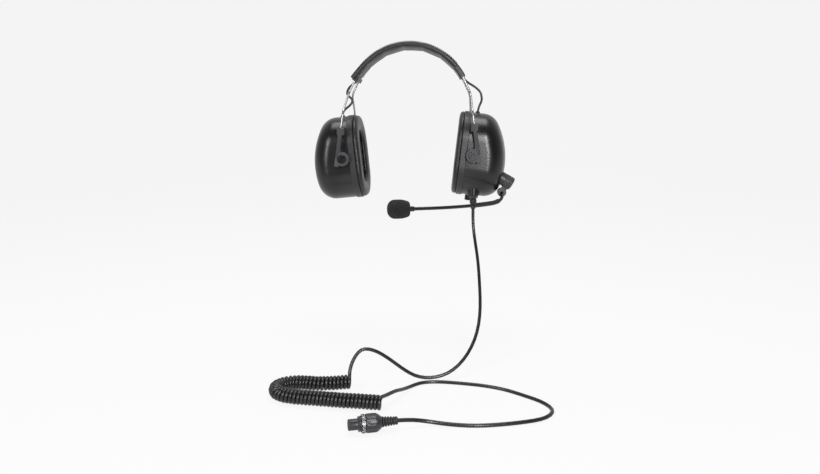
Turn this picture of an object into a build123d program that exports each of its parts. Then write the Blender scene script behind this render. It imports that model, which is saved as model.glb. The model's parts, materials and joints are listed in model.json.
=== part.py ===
"""Noise-reducing two-way-radio headset: two ear cups on a twin-wire headband, a boom microphone,
and a cord with a curly section that ends in a round multi-pin connector.

Units are millimetres. The origin lies midway between the ear cushions on the axis through both ears.
+X points to the wearer's left, -Y to the front and +Z up. The headset is shown as it is worn, with its
cord lying on the surface FLOOR_Z below the ears.
"""

import os
from math import cos, radians, sin, tan

from build123d import *

os.makedirs("parts", exist_ok=True)

# ---------------------------------------------------------------- driving dimensions
# Ear cups
SEAM_X = 77.5  # from the middle of the head to the seam between shell and ring
CUP_TILT = 6.0  # the cup's outward axis points this many degrees down
CUP_WIDTH = 90.0
CUP_HEIGHT = 111.0
CUP_RISE = 1.5  # the cup's middle lies this far above the pivots
CUP_CORNER = 38.0
CUP_DEPTH = 60.0
CUP_ROUND = 24.0
CROWN_R = 105.0  # the outer face is part of a sphere
CROWN_X = 131.0
CROWN_Z = -5.0
CUP_WALL = 2.8
RING_THICK = 8.5
RING_LIP = 1.0  # the ring stands out this far around the shell
CUSHION_THICK = 6.5
PLATE_THICK = 2.0
EAR_HOLE_WIDTH = 46.0
EAR_HOLE_HEIGHT = 70.0

# Pivots and arms
PIVOT_X = 85.5
PIVOT_BOSS_R = 7.5
PIVOT_BOSS_Y = 46.8
ARM_IN_Y = 47.0
ARM_THICK = 6.0
ARM_BOSS_R = 9.3
ARM_WIDTH = 5.8
ARM_TOP = 41.0
ARM_TAIL = 10.0
SHOULDER_R = 3.0
SCREW_HEAD_R = 5.6
SCREW_HEAD_THICK = 3.2
SCREW_THREAD_R = 2.0
FIT = 0.05  # radial clearance of a shaft in its hole

# Headband
WIRE_R = 1.4
WIRE_LEAN = 8.0  # the wire ends lean outward by this many degrees
ARCH_R = 81.5
WIRE_OUT = 82.3  # the straight wire ends pass this far from the arch's centre
WIRE_FLARE = 20.0
ARCH_Z = 63.0
ARCH_END = 26.0  # the arch starts this many degrees above the horizontal
WIRE_PAD_Y = 15.0
WIRE_ARM_Y = 50.0
WIRE_BEND_Z = 56.0
WIRE_END_Z = 2.0
WIRE_BEND_R = 13.0
RIGHT_DROP = 5.0  # the wearer's right cup is set this much lower on its wires
PAD_R = 81.25
PAD_THICK = 9.5
PAD_WIDTH = 44.0
PAD_LEFT = 40.0
PAD_RIGHT = 150.0
LEAD_R = 1.5

# Boom and microphone
HUB_POINT = Vector(129.0, -20.0, -33.2)
HUB_TILT = 31.0
HUB_R = 8.8
HUB_THICK = 12.0
HUB_GAP = 0.3
CLAMP_R = 5.8
CLAMP_LONG = 12.0
CLAMP_REACH = 16.0
BOOM_R = 2.1
SLEEVE_R = 3.0
MIC_R = 6.5
FOAM_R = 11.7

# Cord and connector
FLOOR_Z = -263.0
CORD_R = 2.1
COIL_R = 8.5
GLAND_X = 87.5
GLAND_Y = -26.0
PLUG_HEADING = 195.6  # direction of the connector's nose, in degrees from +X towards +Y
PLUG_R = 9.4

OUT = Vector(cos(radians(CUP_TILT)), 0, -sin(radians(CUP_TILT)))
CUP = Plane(origin=(SEAM_X, 0, 0), x_dir=(0, 1, 0), z_dir=OUT)
SLIDE = Vector(-sin(radians(WIRE_LEAN)), 0, cos(radians(WIRE_LEAN)))
HUB_AXIS = Vector(cos(radians(HUB_TILT)), 0, -sin(radians(HUB_TILT)))


def save(name, solid):
    """Name a finished piece and write it to its own file."""
    solid.label = name
    export_step(solid, f"parts/{name}.step")
    print(f"{name:22s} volume {solid.volume:10.1f} solids {len(solid.solids())}")


def cup_plane(height):
    """The ear cup's own plane: x to the back, y up, z outward, this far out from the seam."""
    return CUP.offset(height)


def cup_point(back, up, out):
    """A point given in the ear cup's own directions."""
    return CUP.from_local_coords(Vector(back, up, out))


def wire_x(height):
    """X of the straight wire end at this height, on the wearer's left."""
    lean = radians(WIRE_LEAN)
    return (WIRE_OUT + (ARCH_Z - height) * sin(lean)) / cos(lean)


# ---------------------------------------------------------------- ear cup, wearer's left
def dome(wall):
    """The cup's outside, or its inside at this wall thickness: a rounded block with a crowned face."""
    with BuildPart() as piece:
        with BuildSketch(cup_plane(0)):
            with Locations((0, CUP_RISE)):
                RectangleRounded(CUP_WIDTH - 2 * wall, CUP_HEIGHT - 2 * wall, CUP_CORNER - wall)
        extrude(amount=CUP_DEPTH)
        with Locations((CROWN_X - CROWN_R, 0, CROWN_Z)):
            Sphere(CROWN_R - wall, mode=Mode.INTERSECT)
        crown = piece.faces().filter_by(GeomType.SPHERE).sort_by(Axis((0, 0, 0), OUT))[-1]
        fillet(crown.edges(), radius=CUP_ROUND - wall)
    return piece.part


with BuildPart() as cup_outside:
    add(dome(0.0))

with BuildPart() as cup_inside:
    add(dome(CUP_WALL))

GROMMET_OUT = 9.0
GROMMET_STEM_R = 2.5
GROMMET_TOP = CUP_HEIGHT / 2 + CUP_RISE + 2.0
grommet_plane = Plane(origin=cup_point(0, GROMMET_TOP, GROMMET_OUT), x_dir=(0, 1, 0), z_dir=CUP.y_dir)

with BuildPart() as cup_shell:
    add(cup_outside.part)
    for side in (-1, 1):
        boss_plane = Plane(origin=(PIVOT_X, side * PIVOT_BOSS_Y, 0), z_dir=(0, -side, 0))
        with BuildSketch(boss_plane):
            Circle(PIVOT_BOSS_R)
        extrude(amount=4.0)
    add(cup_inside.part, mode=Mode.SUBTRACT)
    for side in (-1, 1):
        boss_plane = Plane(origin=(PIVOT_X, side * PIVOT_BOSS_Y, 0), z_dir=(0, -side, 0))
        with BuildSketch(boss_plane):
            Circle(SCREW_THREAD_R)
        extrude(amount=6.0, mode=Mode.SUBTRACT)
    with BuildSketch(grommet_plane):
        Circle(GROMMET_STEM_R)
    extrude(amount=-8.0, mode=Mode.SUBTRACT)

with BuildPart() as base_ring:
    with BuildSketch(cup_plane(-RING_THICK)):
        with Locations((0, CUP_RISE)):
            RectangleRounded(CUP_WIDTH + 2 * RING_LIP, CUP_HEIGHT + 2 * RING_LIP, CUP_CORNER + RING_LIP)
            RectangleRounded(60.0, 84.0, 28.0, mode=Mode.SUBTRACT)
    extrude(amount=RING_THICK)
    ring_rim = base_ring.faces().sort_by(Axis((0, 0, 0), OUT))
    chamfer(ring_rim[-1].outer_wire().edges() + ring_rim[0].outer_wire().edges(), length=0.8)

BAFFLE_THICK = 3.0
SPEAKER_R = 20.0
MAGNET_R = 12.0
with BuildPart() as baffle:
    with BuildSketch(cup_plane(0)):
        with Locations((0, CUP_RISE)):
            RectangleRounded(CUP_WIDTH - 6.0, CUP_HEIGHT - 6.0, CUP_CORNER - 3.0)
        Circle(SPEAKER_R - 3.0, mode=Mode.SUBTRACT)
        with Locations((0, 34), (0, -34)):
            Circle(2.0, mode=Mode.SUBTRACT)
    extrude(amount=BAFFLE_THICK)

with BuildPart() as speaker_basket:
    with BuildSketch(cup_plane(BAFFLE_THICK)):
        Circle(SPEAKER_R)
    extrude(amount=8.0, taper=20)
    with BuildSketch(cup_plane(BAFFLE_THICK)):
        Circle(SPEAKER_R - 3.0)
    extrude(amount=5.0, taper=20, mode=Mode.SUBTRACT)

with BuildPart() as speaker_magnet:
    with BuildSketch(cup_plane(BAFFLE_THICK + 8.0)):
        Circle(MAGNET_R)
    extrude(amount=6.0)

with BuildPart() as cup_foam:
    with BuildSketch(cup_plane(20.0)):
        with Locations((0, 8)):
            RectangleRounded(56.0, 56.0, 14.0)
    extrude(amount=CUP_DEPTH)
    add(cup_inside.part, mode=Mode.INTERSECT)

with BuildPart() as ear_foam:
    with BuildSketch(cup_plane(-3.0)):
        with Locations((0, CUP_RISE)):
            RectangleRounded(59.6, 83.6, 27.8)
    extrude(amount=3.0)

with BuildPart() as cushion_plate:
    with BuildSketch(cup_plane(-RING_THICK - PLATE_THICK)):
        with Locations((0, CUP_RISE)):
            RectangleRounded(CUP_WIDTH - 8.0, CUP_HEIGHT - 8.0, CUP_CORNER - 4.0)
            RectangleRounded(EAR_HOLE_WIDTH + 8.0, EAR_HOLE_HEIGHT + 8.0, 24.0, mode=Mode.SUBTRACT)
    extrude(amount=PLATE_THICK)

with BuildPart() as ear_cushion:
    with BuildSketch(cup_plane(-RING_THICK - CUSHION_THICK)):
        with Locations((0, CUP_RISE)):
            RectangleRounded(CUP_WIDTH, CUP_HEIGHT, CUP_CORNER)
            RectangleRounded(EAR_HOLE_WIDTH, EAR_HOLE_HEIGHT, 21.0, mode=Mode.SUBTRACT)
    extrude(amount=CUSHION_THICK)
    head_face = ear_cushion.faces().sort_by(Axis((0, 0, 0), OUT))[0]
    fillet(head_face.edges(), radius=3.6)
    with BuildSketch(cup_plane(-RING_THICK - PLATE_THICK)):
        with Locations((0, CUP_RISE)):
            RectangleRounded(CUP_WIDTH - 8.0, CUP_HEIGHT - 8.0, CUP_CORNER - 4.0)
            RectangleRounded(EAR_HOLE_WIDTH + 8.0, EAR_HOLE_HEIGHT + 8.0, 24.0, mode=Mode.SUBTRACT)
    extrude(amount=PLATE_THICK, mode=Mode.SUBTRACT)

with BuildPart() as lead_grommet:
    with BuildSketch(grommet_plane):
        Circle(2.8)
    extrude(amount=-2.0, taper=-16)
    with BuildSketch(grommet_plane.offset(-2.0)):
        Circle(GROMMET_STEM_R)
    extrude(amount=-4.5)

HEAD_Y = ARM_IN_Y + ARM_THICK + 0.2
with BuildPart() as pivot_screws:
    for side in (-1, 1):
        thread_plane = Plane(origin=(PIVOT_X, side * 42.4, 0), z_dir=(0, side, 0))
        with BuildSketch(thread_plane):
            Circle(SCREW_THREAD_R)
        extrude(amount=PIVOT_BOSS_Y - 42.4)
        shoulder_plane = Plane(origin=(PIVOT_X, side * PIVOT_BOSS_Y, 0), z_dir=(0, side, 0))
        with BuildSketch(shoulder_plane):
            Circle(SHOULDER_R)
        extrude(amount=HEAD_Y - PIVOT_BOSS_Y)
        head_plane = Plane(origin=(PIVOT_X, side * HEAD_Y, 0), x_dir=(1, 0, 0), z_dir=(0, side, 0))
        with BuildSketch(head_plane):
            Circle(SCREW_HEAD_R)
        extrude(amount=SCREW_HEAD_THICK)
        with BuildSketch(head_plane.offset(SCREW_HEAD_THICK - 1.4)):
            Rectangle(20.0, 1.3, rotation=45 * side)
        extrude(amount=2.0, mode=Mode.SUBTRACT)


# ---------------------------------------------------------------- arms, wearer's left
def arm(side):
    """One arm: a boss around the pivot screw and a sleeve along the wire, on this side of the ear."""
    face = Plane(origin=(0, side * ARM_IN_Y, 0), x_dir=(1, 0, 0), z_dir=(0, side, 0))
    flip = -side  # the plane's own y axis points down on the rear side
    wire_foot = Vector(wire_x(-ARM_TAIL), side * WIRE_ARM_Y, -ARM_TAIL)
    sleeve_long = (ARM_TOP + ARM_TAIL) / cos(radians(WIRE_LEAN))
    middle = wire_foot + SLIDE * (sleeve_long / 2)
    with BuildPart() as piece:
        with BuildSketch(face):
            with Locations((PIVOT_X, 0)):
                Circle(ARM_BOSS_R)
            with Locations((middle.X, middle.Z * flip)):
                Rectangle(ARM_WIDTH, sleeve_long, rotation=WIRE_LEAN * flip)
            with Locations((wire_x(36.5), 36.0 * flip)):
                RectangleRounded(9.6, 10.0, 1.5)
            Polygon(
                (wire_x(22), 22 * flip),
                (PIVOT_X + 1.0, 8.6 * flip),
                (PIVOT_X + 3.0, -8.6 * flip),
                (wire_x(-9), -9 * flip),
                align=None,
            )
        extrude(amount=ARM_THICK)
        front = piece.faces().sort_by(Axis((0, 0, 0), (0, side, 0)))[-1]
        chamfer(front.edges(), length=0.8)
        with BuildSketch(Plane(origin=(PIVOT_X, side * ARM_IN_Y, 0), z_dir=(0, side, 0))):
            Circle(SHOULDER_R + FIT)
        extrude(amount=ARM_THICK, mode=Mode.SUBTRACT)
        with BuildSketch(Plane(origin=wire_foot - SLIDE * 5, z_dir=SLIDE)):
            Circle(WIRE_R + FIT)
        extrude(amount=sleeve_long + 10, mode=Mode.SUBTRACT)
    return piece.part


# ---------------------------------------------------------------- headband
ARCH_CENTRE = Vector(0, 0, ARCH_Z)


def arch_point(angle, radius, y=0.0):
    """A point on the arch, this many degrees up from the wearer's left."""
    return ARCH_CENTRE + Vector(radius * cos(radians(angle)), y, radius * sin(radians(angle)))


def arch_down(angle):
    """The direction along the arch, down towards the wearer's left."""
    return Vector(sin(radians(angle)), 0, -cos(radians(angle)))


def arch_plane(angle, radius, y=0.0):
    """A section plane of the arch: its x axis points away from the arch's centre."""
    away = (cos(radians(angle)), 0, sin(radians(angle)))
    return Plane(origin=arch_point(angle, radius, y), x_dir=away, z_dir=arch_down(angle))


def mirrored(point):
    """The same point on the wearer's right."""
    return Vector(-point.X, point.Y, point.Z)


def wire(side):
    """One steel wire: over the head, splayed to this side of both ears, with straight ends."""
    arch_start = arch_point(ARCH_END, ARCH_R, side * WIRE_PAD_Y)
    corner = arch_start + arch_down(ARCH_END) * WIRE_FLARE
    bend = Vector(wire_x(WIRE_BEND_Z), side * WIRE_ARM_Y, WIRE_BEND_Z)
    tip = Vector(wire_x(WIRE_END_Z), side * WIRE_ARM_Y, WIRE_END_Z)
    top = arch_point(90, ARCH_R, side * WIRE_PAD_Y)
    with BuildPart() as piece:
        with BuildLine() as path:
            FilletPolyline(tip, bend, corner, arch_start, radius=WIRE_BEND_R)
            ThreePointArc(arch_start, top, mirrored(arch_start))
            FilletPolyline(
                mirrored(arch_start), mirrored(corner), mirrored(bend), mirrored(tip), radius=WIRE_BEND_R
            )
        with BuildSketch(Plane(origin=tip, z_dir=SLIDE)):
            Circle(WIRE_R)
        sweep(path=path.wire())
    return piece.part


def arch_solid(start, end, radius, thick, width, corner, holes=True):
    """A curved block along the arch, with channels for both wires and the lead between them."""
    arch_axis = Axis((0, 0, ARCH_Z), (0, 1, 0))
    with BuildPart() as piece:
        with BuildSketch(arch_plane(end, radius)):
            RectangleRounded(thick, width, corner)
            if holes:
                with Locations((ARCH_R - radius, WIRE_PAD_Y), (ARCH_R - radius, -WIRE_PAD_Y)):
                    Circle(WIRE_R, mode=Mode.SUBTRACT)
                with Locations((ARCH_R - radius, 0)):
                    Circle(LEAD_R, mode=Mode.SUBTRACT)
        revolve(axis=arch_axis, revolution_arc=end - start)
    return piece.part


CORE_THICK = 6.0
BRIDGE_LEFT = 29.0
BRIDGE_RIGHT = 154.5

with BuildPart() as pad_core:
    add(arch_solid(PAD_LEFT + 2, PAD_RIGHT - 2, ARCH_R, CORE_THICK, 38.0, 2.0))

with BuildPart() as head_pad:
    add(arch_solid(PAD_LEFT, PAD_RIGHT, PAD_R, PAD_THICK, PAD_WIDTH, 4.2))
    add(arch_solid(PAD_LEFT + 2, PAD_RIGHT - 2, ARCH_R, CORE_THICK, 38.0, 2.0, holes=False),
        mode=Mode.SUBTRACT)

with BuildPart() as left_bridge:
    add(arch_solid(BRIDGE_LEFT, PAD_LEFT, ARCH_R, 7.6, 36.0, 2.0))

with BuildPart() as right_bridge:
    add(arch_solid(PAD_RIGHT, BRIDGE_RIGHT, ARCH_R, 7.6, 38.0, 2.0))

with BuildPart() as pad_lead:
    with BuildSketch(arch_plane(BRIDGE_RIGHT, ARCH_R)):
        Circle(LEAD_R)
    revolve(axis=Axis((0, 0, ARCH_Z), (0, 1, 0)), revolution_arc=BRIDGE_RIGHT - BRIDGE_LEFT)


def corner_radii(points, share=0.45):
    """Radius at each corner of a route: as large as the shorter of its two runs allows."""
    radii = []
    for before, here, after in zip(points, points[1:], points[2:]):
        shorter = min((here - before).length, (after - here).length)
        turn = (here - before).get_angle(after - here)
        radii.append(share * shorter / tan(radians(turn / 2)))
    return radii


def tube(name, points, radius, start=None):
    """A round tube along straight runs joined by tangent arcs."""
    points = [Vector(point) for point in points]
    radii = corner_radii(points)
    with BuildPart() as piece:
        with BuildLine() as path:
            FilletPolyline(*points, radius=radii)
        route = path.wire()
        with BuildSketch(Plane(origin=route @ 0, z_dir=route % 0)):
            Circle(radius)
        sweep(path=route)
    expected = 3.14159265 * radius**2 * route.length
    print(f"{name}: length {route.length:.1f}, volume {piece.part.volume:.0f} of {expected:.0f}")
    print("   radii " + " ".join(f"{value:.0f}" for value in radii))
    return piece.part


left_lead_top = arch_point(BRIDGE_LEFT, ARCH_R)
left_grommet = cup_point(0, GROMMET_TOP, GROMMET_OUT)
LEFT_LEAD = [
    left_lead_top,
    left_lead_top + arch_down(BRIDGE_LEFT) * 6,
    (87.0, -1.0, 91.5),
    (96.0, -1.5, 83.0),
    (98.0, -1.0, 72.0),
    left_grommet + CUP.y_dir * 6,
    left_grommet,
]

right_lead_top = arch_point(BRIDGE_RIGHT, ARCH_R)
right_grommet = mirrored(left_grommet - SLIDE * RIGHT_DROP)
right_up = mirrored(CUP.y_dir)
RIGHT_LEAD = [
    right_lead_top,
    right_lead_top + mirrored(arch_down(180 - BRIDGE_RIGHT)) * 9,
    (-83.0, 0.5, 80.0),
    (-79.5, 0.0, 72.5),
    (-84.0, -1.0, 66.0),
    right_grommet + right_up * 6,
    right_grommet,
]

# ---------------------------------------------------------------- gland, volume control, boom mount
GLAND_BOSS_TOP = -40.0
GLAND_BOSS_R = 8.0
GLAND_RECESS_R = 7.4  # the arched recess in the shell's edge around the gland
GLAND_BOSS_END = -54.0
GLAND_END = -60.0
RELIEF_END = -72.0
with BuildPart() as gland_boss:
    with BuildSketch(Plane(origin=(GLAND_X, GLAND_Y, GLAND_BOSS_TOP))):
        Circle(GLAND_BOSS_R)
    extrude(amount=GLAND_BOSS_END - GLAND_BOSS_TOP)
    with BuildSketch(Plane(origin=(GLAND_X, GLAND_Y, GLAND_BOSS_TOP))):
        Circle(4.0)
    extrude(amount=GLAND_BOSS_END - GLAND_BOSS_TOP, mode=Mode.SUBTRACT)

with BuildPart() as gland_hole:
    with BuildSketch(Plane(origin=(GLAND_X, GLAND_Y, GLAND_BOSS_TOP))):
        Circle(4.0)
    extrude(amount=-25.0)

with BuildPart() as cable_gland:
    with BuildSketch(Plane(origin=(GLAND_X, GLAND_Y, GLAND_BOSS_TOP - 2))):
        Circle(4.0)
    extrude(amount=GLAND_BOSS_END - GLAND_BOSS_TOP + 2)
    with BuildSketch(Plane(origin=(GLAND_X, GLAND_Y, GLAND_BOSS_END))):
        RegularPolygon(6.2, 6)
    extrude(amount=-3.5)
    with BuildSketch(Plane(origin=(GLAND_X, GLAND_Y, GLAND_BOSS_END - 3.5))):
        Circle(4.2)
    extrude(amount=GLAND_END - GLAND_BOSS_END + 3.5)

with BuildPart() as strain_relief:
    with BuildSketch(Plane(origin=(GLAND_X, GLAND_Y, GLAND_END))):
        Circle(4.6)
    extrude(amount=-5.0)
    with BuildSketch(Plane(origin=(GLAND_X, GLAND_Y, GLAND_END - 5.0))):
        Circle(3.4)
    extrude(amount=-3.0)
    with BuildSketch(Plane(origin=(GLAND_X, GLAND_Y, GLAND_END - 8.0))):
        Circle(4.0)
    extrude(amount=RELIEF_END - GLAND_END + 8.0, taper=12)

KNOB_OUT = 10.0
KNOB_UP = CUP_RISE - CUP_HEIGHT / 2
knob_down = Plane(origin=cup_point(0, KNOB_UP, KNOB_OUT), x_dir=(0, 1, 0), z_dir=-CUP.y_dir)
with BuildPart() as volume_pot:
    with BuildSketch(knob_down.offset(-CUP_WALL)):
        RectangleRounded(12.0, 12.0, 1.0)
    extrude(amount=-7.0)
    with BuildSketch(knob_down.offset(-CUP_WALL)):
        Circle(3.0)
    extrude(amount=CUP_WALL + 1.2)
    with BuildSketch(knob_down.offset(-7.0)):
        Circle(1.5 + FIT)
    extrude(amount=9.0, mode=Mode.SUBTRACT)

with BuildPart() as volume_shaft:
    with BuildSketch(knob_down.offset(-6.8)):
        Circle(1.5)
    extrude(amount=6.8 + 7.0)

KNOB_R = 4.8
with BuildPart() as volume_knob:
    with BuildSketch(knob_down.offset(1.5)):
        Circle(KNOB_R)
    extrude(amount=7.0)
    knob_end = volume_knob.faces().sort_by(Axis((0, 0, 0), knob_down.z_dir))[-1]
    chamfer(knob_end.edges(), length=0.6)
    with BuildSketch(knob_down.offset(1.5)):
        with PolarLocations(KNOB_R + 0.25, 14):
            Circle(0.55)
    extrude(amount=6.0, mode=Mode.SUBTRACT)
    with BuildSketch(knob_down.offset(1.5)):
        Circle(1.5)
    extrude(amount=5.5, mode=Mode.SUBTRACT)

with BuildPart() as circuit_board:
    with BuildSketch(cup_plane(BAFFLE_THICK + 14.0)):
        with Locations((0, 5)):
            RectangleRounded(34.0, 42.0, 2.0)
    extrude(amount=1.6)

hub_plane = Plane(origin=HUB_POINT, x_dir=(0, -1, 0), z_dir=HUB_AXIS)
HUB_SCREW_R = 2.5
HUB_SINK = 9.6
with BuildPart() as boom_mount:
    with BuildSketch(hub_plane):
        Circle(8.6)
    extrude(amount=-16.0)
    add(cup_outside.part, mode=Mode.SUBTRACT)
    with BuildSketch(hub_plane):
        Circle(HUB_SCREW_R)
    extrude(amount=-16.0, mode=Mode.SUBTRACT)

with BuildPart() as hub_screw:
    with BuildSketch(hub_plane.offset(-9.5)):
        Circle(HUB_SCREW_R)
    extrude(amount=9.5 + HUB_SINK)
    with BuildSketch(hub_plane.offset(HUB_SINK)):
        Circle(4.8)
    extrude(amount=2.2)
    with BuildSketch(hub_plane.offset(HUB_SINK + 1.0)):
        Rectangle(12.0, 1.2, rotation=25)
    extrude(amount=2.0, mode=Mode.SUBTRACT)

# The wearer's left shell also carries the gland, the volume control and the boom's screw.
with BuildPart() as left_cup_shell:
    add(cup_shell.part)
    add(gland_boss.part)
    add(gland_hole.part, mode=Mode.SUBTRACT)
    with BuildSketch(Plane(origin=(GLAND_X, GLAND_Y, GLAND_BOSS_END))):
        Circle(GLAND_RECESS_R)
    extrude(amount=-12.0, mode=Mode.SUBTRACT)
    with BuildSketch(knob_down.offset(-CUP_WALL - 1)):
        Circle(3.0)
    extrude(amount=CUP_WALL + 3, mode=Mode.SUBTRACT)
    with BuildSketch(hub_plane.offset(-20)):
        Circle(HUB_SCREW_R)
    extrude(amount=20.0, mode=Mode.SUBTRACT)

# ---------------------------------------------------------------- boom
clamp_centre = HUB_POINT + HUB_AXIS * 6.0 + hub_plane.y_dir * (-CLAMP_REACH)
if clamp_centre.Z > HUB_POINT.Z:
    clamp_centre = HUB_POINT + HUB_AXIS * 6.0 + hub_plane.y_dir * CLAMP_REACH
CLAMP_FRONT = HUB_POINT.Y - CLAMP_LONG / 2
clamp_plane = Plane(origin=(clamp_centre.X, CLAMP_FRONT, clamp_centre.Z), z_dir=(0, 1, 0))

with BuildPart() as boom_hub:
    with BuildSketch(hub_plane.offset(HUB_GAP)):
        Circle(HUB_R)
    extrude(amount=HUB_THICK - HUB_GAP)
    hub_end = boom_hub.faces().sort_by(Axis((0, 0, 0), HUB_AXIS))[-1]
    chamfer(hub_end.edges(), length=1.2)
    with BuildSketch(hub_plane.offset(HUB_GAP)):
        with PolarLocations(HUB_R + 0.35, 30):
            Circle(0.7)
    extrude(amount=HUB_THICK, mode=Mode.SUBTRACT)
    with BuildSketch(hub_plane.offset(2.5)):
        with Locations((0, (clamp_centre - HUB_POINT).dot(hub_plane.y_dir) / 2)):
            Rectangle(7.6, CLAMP_REACH)
    extrude(amount=7.0)
    with BuildSketch(clamp_plane):
        Circle(CLAMP_R)
    extrude(amount=CLAMP_LONG)
    with BuildSketch(clamp_plane):
        Circle(BOOM_R + FIT)
    extrude(amount=CLAMP_LONG, mode=Mode.SUBTRACT)
    with BuildSketch(hub_plane):
        Circle(HUB_SCREW_R + FIT)
    extrude(amount=HUB_THICK, mode=Mode.SUBTRACT)
    with BuildSketch(hub_plane.offset(HUB_SINK - 0.1)):
        Circle(5.1)
    extrude(amount=4.0, mode=Mode.SUBTRACT)

BOOM = [
    (clamp_centre.X, -9.0, clamp_centre.Z),
    (clamp_centre.X, -33.0, clamp_centre.Z),
    (124.6, -43.5, -57.0),
    (115.0, -54.0, -60.5),
    (98.0, -67.0, -61.5),
    (74.0, -86.0, -61.8),
    (47.0, -106.0, -61.3),
    (13.0, -120.0, -61.0),
]
BOOM_POINTS = [Vector(point) for point in BOOM]
boom_radii = corner_radii(BOOM_POINTS)


def swept(points, radii, radius, hollow=0.0):
    """A round rod, or a hollow sleeve, along runs with these corner radii."""
    with BuildPart() as piece:
        with BuildLine() as path:
            FilletPolyline(*points, radius=radii)
        route = path.wire()
        with BuildSketch(Plane(origin=route @ 0, z_dir=route % 0)):
            Circle(radius)
            if hollow:
                Circle(hollow, mode=Mode.SUBTRACT)
        sweep(path=route)
    return piece.part


sleeve_start = (BOOM_POINTS[2] + BOOM_POINTS[3]) / 2
sleeve_end = (BOOM_POINTS[4] + BOOM_POINTS[5]) / 2

mic_base = BOOM_POINTS[-1]
mic_axis = Vector(-0.974, -0.225, 0.0).normalized()
mic_plane = Plane(origin=mic_base, x_dir=(0, 0, 1), z_dir=mic_axis)
MIC_LONG = 20.0
CAPSULE_LONG = 5.0
CAPSULE_R = 5.0
CAPSULE_END = MIC_LONG + CAPSULE_LONG
FOAM_LONG = 31.0
FOAM_NOSE = 9.5

with BuildPart() as mic_housing:
    with BuildSketch(mic_plane):
        Circle(MIC_R)
    extrude(amount=MIC_LONG)
    mic_back = mic_housing.faces().sort_by(Axis((0, 0, 0), mic_axis))[0]
    fillet(mic_back.edges(), radius=2.0)

with BuildPart() as mic_capsule:
    with BuildSketch(mic_plane.offset(MIC_LONG)):
        Circle(CAPSULE_R)
    extrude(amount=CAPSULE_LONG)

with BuildPart() as mic_windscreen:
    with BuildSketch(Plane(origin=mic_base, x_dir=mic_axis, z_dir=mic_axis.cross(Vector(0, 0, 1)))):
        with BuildLine():
            Polyline((CAPSULE_END, 0), (CAPSULE_END, CAPSULE_R), (MIC_LONG, CAPSULE_R), (MIC_LONG, MIC_R))
            Polyline((MIC_LONG, MIC_R), (4.0, MIC_R), (4.0, 7.4), (5.2, 8.7), (9.0, 9.9))
            Polyline((9.0, 9.9), (13.0, 11.2), (16.5, FOAM_R), (FOAM_LONG - FOAM_NOSE, FOAM_R))
            RadiusArc((FOAM_LONG - FOAM_NOSE, FOAM_R), (FOAM_LONG, FOAM_R - FOAM_NOSE), FOAM_NOSE)
            Polyline((FOAM_LONG, FOAM_R - FOAM_NOSE), (FOAM_LONG, 0), (CAPSULE_END, 0))
        make_face()
    revolve(axis=Axis(mic_base, mic_axis))

# ---------------------------------------------------------------- cord and connector
DROP = [
    (GLAND_X, GLAND_Y, RELIEF_END),
    (GLAND_X, GLAND_Y, -92.0),
    (90.5, -33.5, -114.0),
    (94.5, -50.0, -138.0),
    (96.5, -72.0, -167.0),
    (97.0, -98.0, -196.0),
    (91.5, -122.0, -220.0),
    (78.0, -142.5, -240.5),
    (60.0, -154.0, -255.0),
    (39.0, -159.0, -260.7),
    (19.0, -162.5, -258.0),
    (3.0, -166.0, -247.0),
    (-11.0, -169.5, -234.0),
    (-25.0, -173.5, -222.5),
    (-40.0, -178.0, -217.5),
    (-50.0, -182.5, -228.0),
    (-54.5, -186.5, -242.0),
    (-63.0, -191.5, -249.0),
]
COIL_Z = FLOOR_Z + COIL_R
COIL = [
    (-57.0, -190.0, COIL_Z),
    (-75.0, -195.5, COIL_Z),
    (-94.0, -198.0, COIL_Z),
    (-112.5, -195.5, COIL_Z),
    (-129.0, -198.5, COIL_Z),
    (-138.5, -212.0, COIL_Z),
    (-131.5, -227.5, COIL_Z),
    (-114.0, -234.0, COIL_Z),
    (-94.0, -236.0, COIL_Z),
    (-74.0, -237.5, COIL_Z),
    (-54.0, -239.8, COIL_Z),
    (-34.0, -240.6, COIL_Z),
    (-14.0, -242.5, COIL_Z),
]
CORD_Z = FLOOR_Z + CORD_R
TAIL = [
    (-20.0, -237.5, -248.5),
    (-9.0, -231.5, -250.5),
    (-1.5, -218.0, -256.0),
    (3.0, -201.0, CORD_Z),
    (10.0, -184.0, CORD_Z),
    (25.0, -171.5, CORD_Z),
    (46.0, -168.0, CORD_Z),
    (72.0, -171.0, CORD_Z),
    (98.0, -175.5, CORD_Z),
    (122.0, -184.5, CORD_Z),
    (143.0, -200.0, CORD_Z),
    (162.0, -215.5, CORD_Z),
    (171.0, -236.0, CORD_Z),
    (158.0, -254.5, CORD_Z),
    (134.0, -264.0, CORD_Z),
    (109.0, -271.0, CORD_Z),
    (83.0, -275.5, CORD_Z),
    (57.0, -273.5, CORD_Z),
    (36.0, -273.0, -258.5),
    (20.5, -278.5, -254.5),
    (7.0, -283.5, -253.4),
]

plug_dir = Vector(cos(radians(PLUG_HEADING)), sin(radians(PLUG_HEADING)), 0)
plug_start = Vector(TAIL[-1])


def plug_plane(distance):
    """A plane across the connector, this far from the cable end of its boot."""
    return Plane(origin=plug_start + plug_dir * distance, x_dir=(0, 0, 1), z_dir=plug_dir)


BOOT_LONG = 16.0
BODY_END = 32.5
RING_END = 36.2
FLANGE_END = 39.5
NOSE_END = 49.5
NOSE_R = 5.6
CORE_R = 6.8
with BuildPart() as plug_boot:
    with BuildSketch(plug_plane(0)):
        Circle(3.7)
    with BuildSketch(plug_plane(BOOT_LONG)):
        Circle(4.9)
    loft()
    for step in range(4):
        with BuildSketch(plug_plane(3.0 + 3.0 * step)):
            Circle(7.0)
            Circle(3.6 + 0.2 * step, mode=Mode.SUBTRACT)
        extrude(amount=1.2, mode=Mode.SUBTRACT)

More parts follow.
